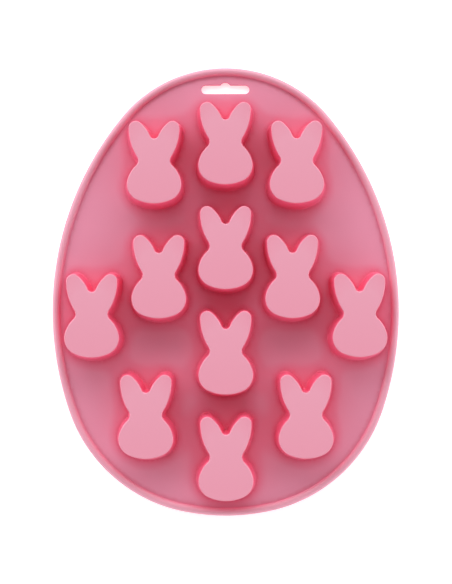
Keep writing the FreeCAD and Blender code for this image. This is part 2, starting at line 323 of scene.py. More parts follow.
@dataclass(frozen=True)
class EggShape:
    """Edge of the mould, in millimetres: broad end, corner, side and crown, all tangent.

    The turns are the directions, in degrees below level, in which the side gives way to the
    corner and the corner to the end.  The steps are the stretches of the end, the corner, the
    side and the crown.
    """

    half_width: float
    length: float
    widest_y: float
    crown_radius: float = 88.82
    side_turn: float = 19.4
    corner_turn: float = 77.93
    steps: tuple[int, ...] = (12, 60, 60, 60)

    def outline(self) -> Outline:
        """Outline of the mould's outer edge, in millimetres.

        The side touches the crown and is upright at the widest place.  The corner and the end
        share the width and the length that the side leaves over, each over its own part of the
        turn, which is a pair of linear equations in their radii.

        Returns:
            The four arcs of the right-hand side.
        """
        crown_y = self.length / 2 - self.crown_radius
        side_radius = ((crown_y - self.widest_y) ** 2 + self.half_width ** 2
                       - self.crown_radius ** 2) / (2 * (self.half_width - self.crown_radius))
        side_cos, corner_cos = np.cos(np.radians([self.side_turn, self.corner_turn]))
        side_sin, corner_sin = np.sin(np.radians([self.side_turn, self.corner_turn]))
        share = np.array([[corner_cos, side_cos - corner_cos],
                          [1 - corner_sin, corner_sin - side_sin]])
        left = np.array([self.half_width - side_radius * (1 - side_cos),
                         self.widest_y + self.length / 2 - side_radius * side_sin])
        end_radius, corner_radius = np.linalg.solve(share, left)
        end_y = end_radius - self.length / 2
        step = end_radius - corner_radius
        arcs = [Arc((0.0, end_y), end_radius),
                Arc((step * corner_cos, end_y - step * corner_sin), corner_radius),
                Arc((self.half_width - side_radius, self.widest_y), side_radius),
                Arc((0.0, crown_y), self.crown_radius)]
        return Outline(arcs, list(self.steps))


@dataclass(frozen=True)
class SlotShape:
    """Hanging slot, in millimetres: round ends and a round notch in its upper edge.

    The steps are the stretches of half its lower edge, one end and half its upper edge.
    """

    length: float = 32.0
    width: float = 5.8
    notch_radius: float = 3.9
    notch_rise: float = 1.8
    steps: tuple[int, int, int] = (12, 16, 40)

    def points(self, grow: Grow) -> Array:
        """Points of the slot's edge moved outwards by grow.

        The edge is a straight bar with half-round ends.  In the middle of its upper side the
        notch's circle stands above the straight edge, and each point takes the higher of the two.

        Args:
            grow: one distance, or an array of K distances.

        Returns:
            K x N x 2 points, anticlockwise from the middle of the lower edge.
        """
        grows = np.atleast_1d(np.asarray(grow, dtype=float))[:, None]
        half = self.width / 2 + grows
        bar = (self.length - self.width) / 2
        shares = [np.arange(steps)[None, :] / steps for steps in self.steps]
        lower = bar * shares[0] + 0 * half
        bend = math.pi * (shares[1] - 0.5)
        upper = bar * (1 - shares[2]) + 0 * half
        centre = self.width / 2 + self.notch_rise - self.notch_radius
        notch = centre + np.sqrt(np.maximum((self.notch_radius + grows) ** 2 - upper ** 2, 0.0))
        right = np.concatenate([
            np.stack([lower, -half + 0 * lower], axis=-1),
            np.stack([bar + half * np.cos(bend), half * np.sin(bend)], axis=-1),
            np.stack([upper, np.maximum(half, notch)], axis=-1)], axis=1)
        top = np.stack([0 * half, centre + self.notch_radius + grows], axis=-1)
        mirror = right[:, :0:-1] * np.array([-1.0, 1.0])
        return np.concatenate([right, top, mirror], axis=1)


# ---------------------------------------------------------------- meshes from whole arrays


@dataclass
class Surface:
    """Collects grids and triangles, in millimetres, and makes one closed mesh object of them.

    Points nearer than the seam become one, and an edge that turns by more than sharp degrees
    is shaded as a sharp one.
    """

    name: str
    blocks: list[Array] = field(default_factory=list)
    faces: list[Array] = field(default_factory=list)
    count: int = 0
    seam: float = 1e-3
    sharp: float = 50.0

    def add(self, points: Array, faces: Array) -> None:
        """Adds points and the faces that use them.

        Args:
            points: V x 3 array.
            faces: one row of indices of those points for each face.
        """
        self.blocks.append(points)
        self.faces.append(faces + self.count)
        self.count += len(points)

    def add_grid(self, grid: Array, loop: bool = False) -> None:
        """Adds a grid of points as quads.

        Args:
            grid: R x C x 3 points, row by row.
            loop: whether the last column joins the first.
        """
        rows, columns = grid.shape[:2]
        index = np.arange(rows * columns).reshape(rows, columns)
        after = np.roll(index, -1, axis=1)
        if not loop:
            index, after = index[:, :-1], index[:, 1:]
        quads = np.stack([index[:-1], after[:-1], after[1:], index[1:]], axis=-1)
        self.add(grid.reshape(-1, 3), quads.reshape(-1, 4))

    def build(self) -> bpy.types.Object:
        """Makes the mesh object of all that was added.

        Returns:
            The smooth-shaded object, linked to the scene, with sharp edges where walls meet.
        """
        mesh = bpy.data.meshes.new(self.name)
        rings = [ring for block in self.faces for ring in block.tolist()]
        mesh.from_pydata(np.concatenate(self.blocks) * MM, [], rings)
        self._close(mesh)
        mesh.validate()
        mesh.shade_smooth()
        mesh.set_sharp_from_angle(angle=math.radians(self.sharp))
        piece = bpy.data.objects.new(self.name, mesh)
        bpy.context.scene.collection.objects.link(piece)
        return piece

    def _close(self, mesh: bpy.types.Mesh) -> None:
        """Joins the points that meet at a seam, and turns every face outwards.

        Args:
            mesh: the mesh to close, changed in place.
        """
        work = bmesh.new()
        work.from_mesh(mesh)
        bmesh.ops.remove_doubles(work, verts=work.verts, dist=self.seam * MM)
        bmesh.ops.recalc_face_normals(work, faces=work.faces)
        work.to_mesh(mesh)
        work.free()


def swept(outline: Callable[[Grow], Array], profile: Array) -> Array:
    """Carries a profile along an outline.

    Point (i, j) is the j-th point of the outline moved out by the profile's i-th distance, at the
    profile's i-th height.

    Args:
        outline: function that gives the outline moved outwards by each of several distances.
        profile: K x 2 array of outward distance and height.

    Returns:
        K x N x 3 grid.
    """
    flat = outline(profile[:, 0])
    height = np.broadcast_to(profile[:, 1][:, None, None], flat.shape[:2] + (1,))
    return np.concatenate([flat, height], axis=-1)


def rounded(centre: tuple[float, float], radius: float, start: float, end: float,
            steps: int) -> Array:
    """Arc of a profile.

    Args:
        centre: outward distance and height of its centre.
        radius: its radius.
        start: angle where it starts, in degrees.
        end: angle where it ends, in degrees.
        steps: how many stretches it has.

    Returns:
        (steps + 1) x 2 points of the profile.
    """
    angle = np.radians(np.linspace(start, end, steps + 1))
    return np.stack([centre[0] + radius * np.cos(angle), centre[1] + radius * np.sin(angle)], -1)


def straight(start: Array, end: Array, steps: int) -> Array:
    """Points strictly between two profile points, evenly spaced."""
    share = np.arange(1, steps)[:, None] / steps
    return start + (end - start) * share


def ladder(left: Array, right: Array, rungs: int) -> Array:
    """Grid of straight rungs between two rows of points.

    Args:
        left: R x 3 points.
        right: R x 3 points, one for each on the left.
        rungs: how many stretches a rung has.

    Returns:
        R x (rungs + 1) x 3 grid.
    """
    share = np.linspace(0, 1, rungs + 1)[None, :, None]
    return left[:, None] * (1 - share) + right[:, None] * share


# ---------------------------------------------------------------- materials


def linear(hex_colour: str) -> tuple[float, float, float, float]:
    """Linear RGBA of an sRGB colour written as six hex digits."""
    channels = [int(hex_colour[i:i + 2], 16) / 255 for i in (0, 2, 4)]
    return tuple(c / 12.92 if c <= 0.04045 else ((c + 0.055) / 1.055) ** 2.4
                 for c in channels) + (1.0,)


def add_node(tree: bpy.types.NodeTree, kind: str, settings: dict[str, Any] | None = None,
             **sockets: Any) -> bpy.types.Node:
    """Adds a node with its settings, and sets or links its input sockets.

    Args:
        tree: the material's node tree.
        kind: the node's type name.
        settings: properties of the node itself.
        **sockets: a value or an output socket for each input, which is named with _ in place
            of a space, or i and its number where names repeat.

    Returns:
        The new node.
    """
    node = tree.nodes.new(kind)
    for key, value in (settings or {}).items():
        setattr(node, key, value)
    for key, value in sockets.items():
        socket = node.inputs[int(key[1:])] if key[0] == "i" and key[1:].isdigit() \
            else node.inputs[key.replace("_", " ")]
        if isinstance(value, bpy.types.NodeSocket):
            tree.links.new(value, socket)
        else:
            socket.default_value = value
    return node


def maths(tree: bpy.types.NodeTree, operation: str, *values: Any) -> bpy.types.NodeSocket:
    """Result of one operation on numbers or sockets, taken in order."""
    sockets = {f"i{i}": value for i, value in enumerate(values)}
    return add_node(tree, "ShaderNodeMath", {"operation": operation}, **sockets).outputs[0]


def smooth_share(tree: bpy.types.NodeTree, value: bpy.types.NodeSocket, start: float,
                 end: float) -> bpy.types.NodeSocket:
    """Share that rises smoothly from 0 to 1 as a value goes from start to end."""
    return add_node(tree, "ShaderNodeMapRange", {"interpolation_type": "SMOOTHSTEP"},
                    Value=value, i1=start, i2=end).outputs[0]


def blend(tree: bpy.types.NodeTree, share: bpy.types.NodeSocket, below: Any,
          above: Any) -> bpy.types.NodeSocket:
    """Colour that goes from below to above as the share goes from 0 to 1."""
    return add_node(tree, "ShaderNodeMix", {"data_type": "RGBA"}, i0=share, i6=below,
                    i7=above).outputs[2]


def fresh_tree(owner: bpy.types.Material | bpy.types.World) -> bpy.types.NodeTree:
    """Empty node tree of a material or a world.

    Args:
        owner: what the nodes belong to.

    Returns:
        The tree.
    """
    owner.use_nodes = True
    owner.node_tree.nodes.clear()
    return owner.node_tree


@dataclass(frozen=True)
class MouldedSilicone:
    """Platinum-cured silicone rubber, pressed in a fine-blasted steel tool.

    The tool leaves a satin skin with soft, broad reflections.  The flat areas are a pale pink
    that drifts towards a near one, as pigment does.  The steep sides are painted a colour of their
    own, which on the cups' walls is painted shade: a fuller pink for the light from above that
    they miss.  A mesh attribute paints crimson over that, painted shade for light that has gone
    from wall to wall between cups.  The faces that stand proud are painted paler, painted light
    for the fuller light and soft sheen that they catch: it starts the first of its two depths
    below the top, and is full from the second below it.

    Lengths are in millimetres.  The cloud is the width of the pigment's drift, steep and flat
    are the upward shares of a surface's direction between which the painted colour of the steep
    sides gives way, and the patchiness is how much rougher the roughest spots are.
    """

    name: str
    top: float
    painted_light_start: float = 1.2
    painted_light_full: float = 0.3
    pigment: str = "F49EB9"
    streak: str = "F098B3"
    steep_shading: str = "F27F9F"
    painted_shade_colour: str = "EC3A68"
    painted_light_colour: str = "F3A9BE"
    cloud: float = 45.0
    steep: float = 0.2
    flat: float = 0.9
    roughness: float = 0.4
    patchiness: float = 0.08
    ior: float = 1.41
    grain: float = 0.35
    grain_depth: float = 0.02
    grain_strength: float = 0.25

    def material(self) -> bpy.types.Material:
        """Node material of the silicone.

        To the eye, the pigment gives the sheet a soft drift of colour, and painted shade makes the
        walls a fuller pink than the flats.  Painted light makes the faces dry and light, and painted
        shade makes the channels dark.  The blasted grain breaks up the reflections: it is made
        several times coarser than the real 0.05 mm so that it shows.

        Returns:
            The material.
        """
        material = bpy.data.materials.new(self.name)
        tree = fresh_tree(material)
        place = add_node(tree, "ShaderNodeTexCoord").outputs["Object"]
        blast = add_node(tree, "ShaderNodeTexNoise", Vector=place, Scale=1 / (self.grain * MM),
                         Detail=2.0, Roughness=0.6)
        satin = add_node(tree, "ShaderNodeMapRange", Value=blast.outputs["Fac"], i3=self.roughness,
                         i4=self.roughness + self.patchiness)
        bump = add_node(tree, "ShaderNodeBump", Strength=self.grain_strength,
                        Distance=self.grain_depth * MM, Height=blast.outputs["Fac"])
        shader = add_node(tree, "ShaderNodeBsdfPrincipled", Base_Color=self._colour(tree, place),
                          Roughness=satin.outputs[0], IOR=self.ior, Normal=bump.outputs[0])
        add_node(tree, "ShaderNodeOutputMaterial", Surface=shader.outputs[0])
        return material

    def _colour(self, tree: bpy.types.NodeTree, place: bpy.types.NodeSocket) -> bpy.types.NodeSocket:
        """Colour of the silicone: four blends, each over the one before.

        The pigment blends with its streak by slow noise, the painted shading of steep sides with
        them by how level the surface lies, the painted light of the proud faces with that by height,
        and the painted shade of the shelter attribute last.

        Args:
            tree: the material's nodes.
            place: object coordinates.

        Returns:
            The colour's socket.
        """
        drift = add_node(tree, "ShaderNodeTexNoise", Vector=place, Scale=1 / (self.cloud * MM),
                         Detail=3.0, Roughness=0.5).outputs["Fac"]
        cloudy = blend(tree, drift, linear(self.pigment), linear(self.streak))
        # Painted shade: steep sides get their own colour by how upright they stand, for the light
        # they get.
        facing = add_node(tree, "ShaderNodeNewGeometry").outputs["Normal"]
        upward = add_node(tree, "ShaderNodeSeparateXYZ", i0=facing).outputs["Z"]
        level = smooth_share(tree, maths(tree, "ABSOLUTE", upward), self.steep, self.flat)
        body = blend(tree, level, linear(self.steep_shading), cloudy)
        # Painted light: the highest faces blend to a paler colour for the light and sheen they
        # catch.
        height = add_node(tree, "ShaderNodeSeparateXYZ", i0=place).outputs["Z"]
        proud = smooth_share(tree, height, (self.top - self.painted_light_start) * MM,
                             (self.top - self.painted_light_full) * MM)
        pale = blend(tree, proud, body, linear(self.painted_light_colour))
        # Painted shade: the mesh attribute blends in crimson between cups, at the feet, in the
        # crease and towards the chin.
        shade_attribute = add_node(tree, "ShaderNodeAttribute", {"attribute_name": PAINTED_SHADE_ATTRIBUTE})
        return blend(tree, shade_attribute.outputs["Fac"], pale, linear(self.painted_shade_colour))


@dataclass(frozen=True)
class StudioPaper:
    """Matt white paper over a light table, which is plain white to the eye under any shadow."""

    name: str = "white_paper"
    white: float = 0.93
    glow: float = 0.5

    def material(self) -> bpy.types.Material:
        """Node material of the paper: a matt white and an even glow, added together.

        Returns:
            The material.
        """
        material = bpy.data.materials.new(self.name)
        tree = fresh_tree(material)
        matt = add_node(tree, "ShaderNodeBsdfDiffuse", Color=(self.white,) * 3 + (1.0,))
        glow = add_node(tree, "ShaderNodeEmission", Strength=self.glow)
        both = add_node(tree, "ShaderNodeAddShader", i0=matt.outputs[0], i1=glow.outputs[0])
        add_node(tree, "ShaderNodeOutputMaterial", Surface=both.outputs[0])
        return material


# ---------------------------------------------------------------- shelter, painted shade and finish


def squared_gaps(points: Array, others: Array) -> Array:
    """Squared distances, P x Q, from each of P points to each of Q others."""
    return ((points[:, None] - others[None]) ** 2).sum(-1)


def nearest(points: Array, edges: Array) -> Array:
    """Distance from each point to the nearest of the edge points.

    Args:
        points: N x 2 places.
        edges: M x 2 points.

    Returns:
        N distances.
    """
    parts = np.array_split(points, max(1, len(points) // CHUNK))
    return np.concatenate([np.sqrt(squared_gaps(part, edges)).min(1) for part in parts])


def shelter(points: Array, feet: Array, reach: float = 9.0, none: float = 3.8,
            full: float = 7.5) -> Array:
    """How closely cups stand round each point, from 0 in the open to 1 deep between them.

    The feet's points are weighed by exp(-(distance / reach)^2) and summed, and the sum is
    brought to 0 at none and 1 at full, with a smooth rise between.

    Args:
        points: N x 2 places.
        feet: M x 2 points, evenly spaced along the feet.
        reach: distance at which a foot counts for little.
        none: sum in the open, beside one cup.
        full: sum in a channel between cups.

    Returns:
        N shares.
    """
    # This crowding of cup feet is the mask of the painted shade between cups.
    parts = np.array_split(points, max(1, len(points) // CHUNK))
    total = np.concatenate([np.exp(-squared_gaps(part, feet) / reach ** 2).sum(1)
                            for part in parts])
    share = np.clip((total - none) / (full - none), 0.0, 1.0)
    return share * share * (3.0 - 2.0 * share)


def fading(distances: Array, fade: float) -> Array:
    """Share that falls from 1 at no distance to nothing: exp(-(distance / fade)^2)."""
    return np.exp(-(distances / fade) ** 2)


def corners(piece: bpy.types.Object) -> Array:
    """Corners of a piece's mesh.

    Args:
        piece: the object, whose mesh is in metres.

    Returns:
        N x 3 array, in millimetres.
    """
    flat = np.empty(3 * len(piece.data.vertices))
    piece.data.vertices.foreach_get("co", flat)
    return flat.reshape(-1, 3) / MM


def mark_painted_shade(piece: bpy.types.Object, shares: Array) -> None:
    """Stores at each corner how far the rubber shows its deep colour, from 0 to 1."""
    # The attribute holds painted shade: how much darker crimson each corner is painted.
    attribute = piece.data.attributes.new(PAINTED_SHADE_ATTRIBUTE, "FLOAT", "POINT")
    attribute.data.foreach_set("value", np.clip(shares, 0.0, 1.0).astype(np.float32))


def finish_piece(piece: bpy.types.Object, silicone: bpy.types.Material, node: str) -> None:
    """Dresses a piece and ties it to the frame in the place of one CAD node.

    Args:
        piece: the new skin.
        silicone: its material.
        node: the CAD node that it stands for.
    """
    piece.data.materials.append(silicone)
    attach(piece, "root")
    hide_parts(node)
    LOG.info("%s: %d faces", piece.name, len(piece.data.polygons))


# ---------------------------------------------------------------- the mould


@dataclass
class Levels:
    """Heights of the moulding, in millimetres, as the CAD nodes have them."""

    deck: float
    rim: float
    top: float
    wall: float = 2.0
    floor: float = 2.0
    draft: float = 5.0

    @property
    def slope(self) -> float:
        """How far a drafted wall leans out over one millimetre of height."""
        return math.tan(math.radians(self.draft))


@dataclass
class CupSkin:
    """One cup: crowned floor, rounded edge, drafted wall, flared foot and the cavity inside.

    The walls between cups and the chin's end of the face are painted darker, painted shade, each
    up to its given most; on the face it stands for the light from the ears' side, which leaves the
    chin's end darker.  The chin's share fades out at chin_end of the length above the middle.
    """

    place: Place
    centre: tuple[float, float]
    levels: Levels
    shape: HeadShape = HeadShape()
    edge_round: float = 0.8
    foot_round: float = 0.9
    mouth_round: float = 0.5
    inner_round: float = 0.8
    crown: float = 0.25
    edge_steps: int = 6
    foot_steps: int = 7
    inner_steps: int = 4
    wall_steps: int = 8
    under_steps: int = 3
    rungs: int = 12
    foot_spacing: float = 2.0
    wall_painted_shade: float = 0.6
    chin_painted_shade: float = 0.12
    chin_end: float = 0.6

    @property
    def foot_reach(self) -> float:
        """How far the foot's rounding reaches out over the sheet from the floor's outline.

        Returns:
            The wall's lean down to the rounding, plus the rounding's radius over the cosine of
            the draft.
        """
        levels = self.levels
        lean = (levels.top - levels.deck - self.foot_round) * levels.slope
        return lean + self.foot_round / math.cos(math.radians(levels.draft))

    def profile(self) -> Array:
        """Section of the wall, from the edge of the floor down, under the mouth and up inside.

        Returns:
            K x 2 array of outward distance from the floor's outline, and height.
        """
        levels, draft = self.levels, self.levels.draft
        slope, lean = levels.slope, math.cos(math.radians(levels.draft))
        edge = self.edge_round
        top_edge = rounded((edge * slope - edge / lean, levels.top - edge), edge, 90, draft,
                           self.edge_steps)
        foot = rounded((self.foot_reach, levels.deck + self.foot_round), self.foot_round,
                       180 + draft, 270, self.foot_steps)
        cavity_top = levels.top - levels.floor
        inset = levels.wall - levels.floor * slope
        mouth = self.mouth_round
        mouth_centre = -inset + (cavity_top - mouth) * slope + mouth / lean
        lip = rounded((mouth_centre, mouth), mouth, 270, 180 + draft, self.inner_steps)
        inner = self.inner_round
        inner_centre = -inset + inner * slope - inner / lean
        roof = rounded((inner_centre, cavity_top - inner), inner, draft, 90, self.inner_steps)
        under = np.array([[self.foot_reach, 0.0]])
        return np.concatenate([top_edge, straight(top_edge[-1], foot[0], self.wall_steps), foot,
                               under, straight(under[0], lip[0], self.under_steps), lip,
                               straight(lip[-1], roof[0], self.wall_steps), roof])

    def crowned(self, grid: Array) -> Array:
        """Crowns the floor: a point at x, y sinks by half of crown x ((x/a)^2 + (y/b)^2).

        Here a and b are the half width and the half length.  Only what lies above the half
        height of the cup moves, by the square of how far it is from there to the top, so that
        the edge follows the floor and the foot stays level.

        Args:
            grid: R x C x 3 points about the cup's centre.

        Returns:
            The moved points.
        """
        half_width, half_length = self.shape.width / 2, self.shape.length / 2
        share = np.clip((grid[..., 2] / self.levels.top - 0.5) * 2, 0, 1) ** 2
        drop = self.crown / 2 * ((grid[..., 0] / half_width) ** 2
                                 + (grid[..., 1] / half_length) ** 2)
        moved = grid.copy()
        moved[..., 2] -= drop * share
        return moved

    def cap(self, ring: Array) -> list[Array]:
        """Fills a ring of the outline with straight rungs.

        The head is spanned from right to left, each ear from its outer to its inner side, and the
        triangle between them from the last rung of the head to the first ones of the ears.

        Args:
            ring: N x 3 points of the ring.

        Returns:
            The grids that fill it.
        """
        top = len(ring) // 2
        tip = self.shape.tip_index
        root = 2 * tip - top
        right, left = ring[:top + 1], np.roll(ring[::-1], 1, axis=0)[:top + 1]
        head = ladder(right[:root + 1], left[:root + 1], 2 * self.rungs)
        ears = [ladder(side[root:tip + 1], side[:tip - 1:-1][:tip - root + 1], self.rungs)
                for side in (right, left)]
        bent = np.concatenate([ears[0][0], ears[1][0][::-1][1:]])
        gusset = ladder(head[-1], bent, self.rungs // 2)
        return [head, gusset, *ears]

    def foot_line(self) -> Array:
        """Outline of the foot on the sheet, as N x 2 points in the mould's frame."""
        return self.shape.outline().points(self.foot_reach)[0] + np.array(self.centre)

    def foot(self) -> Array:
        """Evenly spaced points along the line where the cup stands on the sheet.

        Returns:
            M x 2 points, foot_spacing apart.
        """
        loop = self.foot_line()
        closed = np.concatenate([loop, loop[:1]])
        along = np.concatenate([[0.0], np.cumsum(np.hypot(*np.diff(closed, axis=0).T))])
        marks = np.arange(0.0, along[-1], self.foot_spacing)
        return np.stack([np.interp(marks, along, closed[:, axis]) for axis in (0, 1)], axis=1)

    def build(self, feet: Array) -> bpy.types.Object:
        """Makes the closed skin of the cup in its place, and marks where it shows deep colour.

        From the edge's rounding down it gets painted shade by its shelter between cups.  Everywhere
        it gets at least painted shade by how far down the head a point lies, for the light from the
        ears' side: nothing at chin_end, full at the chin.

        Args:
            feet: M x 2 points along the feet of all the cups.

        Returns:
            The mesh object.
        """
        profile = self.profile()
        wall = swept(self.shape.outline().points, profile)
        surface = Surface(f"skin_{self.place.value}")
        offset = np.array([*self.centre, 0.0])
        surface.add_grid(self.crowned(wall) + offset, loop=True)
        for ring in (wall[0], wall[-1]):
            for grid in self.cap(ring):
                surface.add_grid(self.crowned(grid) + offset)
        piece = surface.build()
        places = corners(piece)
        # Painted shade: walls between cups and the chin's end of the face are marked darker.
        below = ((self.levels.top - places[:, 2]) / self.edge_round).clip(0.0, 1.0)
        chin = self.chin_end - (places[:, 1] - self.centre[1]) / self.shape.length
        mark_painted_shade(piece, np.maximum(self.wall_painted_shade * below * shelter(places[:, :2], feet),
                                       self.chin_painted_shade * chin.clip(0.0, 1.0)))
        return piece

    def dress(self, piece: bpy.types.Object, silicone: bpy.types.Material) -> None:
        """Gives the cup its silicone and puts it in the place of its CAD node."""
        finish_piece(piece, silicone, self.place.value)


@dataclass
class RimSkin:
    """Bead round the edge: half-round on top, flush with the open face below.

    The crease where it meets the sheet is painted darker, painted shade of a given share, which
    fades out over crease_fade on both sides.
    """

    egg: EggShape
    levels: Levels
    width: float = 4.8
    crease: float = 0.4
    lower_round: float = 0.5
    dome_steps: int = 20
    small_steps: int = 4
    under_steps: int = 3
    crease_painted_shade: float = 0.25
    crease_fade: float = 0.7

    @property
    def reach(self) -> float:
        """How far in from the outer edge the bead's inner crease ends on the sheet."""
        return self.width + self.crease

    def profile(self) -> Array:
        """Section of the bead: crease, inner side, half-round top, outer side and underside.

        Returns:
            K x 2 closed profile of outward distance and height, whose last point is its first.
        """
        radius = self.width / 2
        crease = rounded((-self.reach, self.levels.deck + self.crease), self.crease, 270, 360,
                         self.small_steps)
        dome = rounded((-radius, self.levels.rim - radius), radius, 180, 0, self.dome_steps)
        low = rounded((-self.lower_round, self.lower_round), self.lower_round, 0, -90,
                      self.small_steps)
        under = np.array([[-self.reach, 0.0]])
        return np.concatenate([crease, dome, low, straight(low[-1], under[0], self.under_steps),
                               under, crease[:1]])

    def crease_line(self) -> Array:
        """Line where the crease ends on the sheet, as N x 2 points."""
        return self.egg.outline().points(-self.reach)[0]

    def crease_shade_shares(self, places: Array) -> Array:
        """How far places near the crease show the deep colour.

        Args:
            places: N x 2 points.

        Returns:
            N shares of painted shade: the crease's given share times a share that fades with the
            distance from the crease.
        """
        return self.crease_painted_shade * fading(nearest(places, self.crease_line()), self.crease_fade)

    def build(self) -> bpy.types.Object:
        """Makes the bead.

        Returns:
            The mesh object.
        """
        surface = Surface("skin_rim_bead")
        surface.add_grid(swept(self.egg.outline().points, self.profile()), loop=True)
        piece = surface.build()
        # Painted shade along the crease between the bead and the sheet.
        mark_painted_shade(piece, self.crease_shade_shares(corners(piece)[:, :2]))
        return piece

    def dress(self, piece: bpy.types.Object, silicone: bpy.types.Material) -> None:
        """Gives the bead its silicone and puts it in the place of its CAD node."""
        finish_piece(piece, silicone, "rim_bead")


@dataclass
class DeckSkin:
    """Sheet between the bead and the feet of the cups, with the hanging slot.

    Spacing is the width of the triangles' grid, whose points keep edge_gap of it away from every
    edge.  The swell is the height of the sheet's slow waves, whose lengths are given per radian
    and which die out over swell_fade from an edge.  The sheet is painted darker between cups and
    beside the feet, painted shade: a given most in a channel, and a larger one beside a foot,
    over foot_fade from it.
    """

    cups: list[CupSkin]
    rim: RimSkin
    slot_centre: tuple[float, float]
    slot: SlotShape = SlotShape()
    slot_round: float = 0.35
    round_steps: int = 4
    spacing: float = 2.4
    edge_gap: float = 0.45
    swell: float = 0.12
    swell_fade: float = 6.0
    cross_wave: tuple[float, float] = (17.0, 23.0)
    slant_wave: tuple[float, float] = (9.0, 12.0)
    slant_share: float = 0.6
    channel_painted_shade: float = 0.25
    foot_painted_shade: float = 0.65
    foot_fade: float = 1.5

    def loops(self) -> list[Array]:
        """Edges of the sheet's upper side.

        Returns:
            The outer edge, one loop per cup, and the slot's, each N x 2.
        """
        slot = self.slot.points(self.slot_round)[0] + np.array(self.slot_centre)
        feet = [cup.foot_line() for cup in self.cups]
        return [self._distinct(loop) for loop in [self.rim.crease_line(), *feet, slot]]

    @staticmethod
    def _distinct(loop: Array) -> Array:
        """The loop without points that repeat the one before."""
        gap = np.hypot(*(loop - np.roll(loop, 1, axis=0)).T)
        return loop[gap > REPEAT]

    @staticmethod
    def inside(points: Array, loop: Array) -> Array:
        """Which points lie inside a loop.

        Those do whose ray towards +X crosses the loop an odd number of times.

        Args:
            points: P x 2 places.
            loop: N x 2 points of the loop.

        Returns:
            P truth values.
        """
        ahead = np.roll(loop, -1, axis=0)
        low, high = loop[None, :, 1] > points[:, None, 1], ahead[None, :, 1] > points[:, None, 1]
        climb = np.where(ahead[:, 1] == loop[:, 1], 1.0, ahead[:, 1] - loop[:, 1])
        share = (points[:, None, 1] - loop[None, :, 1]) / climb[None]
        cross = loop[None, :, 0] + share * (ahead[:, 0] - loop[:, 0])[None]
        return ((low != high) & (cross > points[:, None, 0])).sum(axis=1) % 2 == 1

    def triangles(self, loops: list[Array]) -> tuple[Array, Array]:
        """Triangulates the sheet between its edges.

        The edges and a square grid of points between them are joined by triangles as even as
        the edges allow, and those outside the outer edge or in a hole are left out.

        Args:
            loops: the outer edge and the holes.

        Returns:
            V x 2 points and F x 3 indices.
        """
        edges = np.concatenate(loops)
        xs, ys = (np.arange(low, high, self.spacing)
                  for low, high in zip(loops[0].min(0), loops[0].max(0)))
        grid = np.stack(np.meshgrid(xs, ys), -1).reshape(-1, 2)
        grid = grid[nearest(grid, edges) > self.edge_gap * self.spacing]
        starts = np.cumsum([0] + [len(loop) for loop in loops])
        chains = [[int(start + i), int(start + (i + 1) % len(loop))]
                  for start, loop in zip(starts, loops) for i in range(len(loop))]
        spots = [Vector(spot) for spot in np.concatenate([edges, grid]).tolist()]
        joined = geometry.delaunay_2d_cdt(spots, chains, [], 0, CLOSE)
        flat, faces = np.array([tuple(spot) for spot in joined[0]]), np.array(joined[2])
        middle = flat[faces].mean(axis=1)
        keep = self.inside(middle, loops[0])
        for hole in loops[1:]:
            keep &= ~self.inside(middle, hole)
        return flat, faces[keep]

    def unevenness(self, flat: Array, edges: Array) -> Array:
        """How far the soft sheet stands above or below its level.

        It is swell x share x (sin(x/17 + 1) cos(y/23) + 0.6 sin(x/9 - y/12)), with the fields'
        lengths, where the share rises from 0 at an edge to 1 at swell_fade, as a square.

        Args:
            flat: V x 2 points of the sheet.
            edges: N x 2 points of its edges.

        Returns:
            V heights.
        """
        x, y = flat.T
        share = np.clip(nearest(flat, edges) / self.swell_fade, 0, 1) ** 2
        cross = np.sin(x / self.cross_wave[0] + 1.0) * np.cos(y / self.cross_wave[1])
        slant = np.sin(x / self.slant_wave[0] - y / self.slant_wave[1])
        return self.swell * share * (cross + self.slant_share * slant)

    def build(self) -> bpy.types.Object:
        """Makes the sheet: an upper and a lower side of the same triangles, joined by walls.

        Returns:
            The mesh object, marked where it gets painted shade.
        """
        loops = self.loops()
        flat, faces = self.triangles(loops)
        deck = self.rim.levels.deck
        upper = deck + self.unevenness(flat, np.concatenate(loops))
        surface = Surface("skin_deck_sheet")
        surface.add(np.column_stack([flat, upper]), faces)
        surface.add(np.column_stack([flat, 0 * upper]), faces)
        for loop in loops[:-1]:
            surface.add_grid(np.stack([np.column_stack([loop, 0 * loop[:, 0] + z])
                                       for z in (deck, 0.0)]), loop=True)
        self._add_slot_wall(surface)
        piece = surface.build()
        # Painted shade on the sheet: darker between cups, beside the feet and along the crease.
        mark_painted_shade(piece, self._painted_shade_shares(corners(piece)[:, :2]))
        return piece

    def _add_slot_wall(self, surface: Surface) -> None:
        """Adds the slot's wall, with both of its edges rounded.

        Args:
            surface: the sheet's surface so far.
        """
        turn, deck = self.slot_round, self.rim.levels.deck
        profile = np.concatenate([rounded((turn, deck - turn), turn, 90, 180, self.round_steps),
                                  rounded((turn, turn), turn, 180, 270, self.round_steps)])
        wall = swept(self.slot.points, profile) + np.array([*self.slot_centre, 0.0])
        surface.add_grid(wall, loop=True)

    def _painted_shade_shares(self, places: Array) -> Array:
        """How far places on the sheet show the deep colour.

        Args:
            places: N x 2 points.

        Returns:
            N shares of painted shade: the shelter times the channel's most, or more beside a foot,
            or the crease's share where that is greater.
        """
        # Painted shade: darker between cups, beside the feet and along the rim's crease.
        feet = np.concatenate([cup.foot() for cup in self.cups])
        near = fading(nearest(places, feet), self.foot_fade)
        most = self.channel_painted_shade + (self.foot_painted_shade - self.channel_painted_shade) * near
        return np.maximum(shelter(places, feet) * most, self.rim.crease_shade_shares(places))

    def dress(self, piece: bpy.types.Object, silicone: bpy.types.Material) -> None:
        """Gives the sheet its silicone and puts it in the place of its CAD node."""
        finish_piece(piece, silicone, "deck_sheet")


# ---------------------------------------------------------------- studio


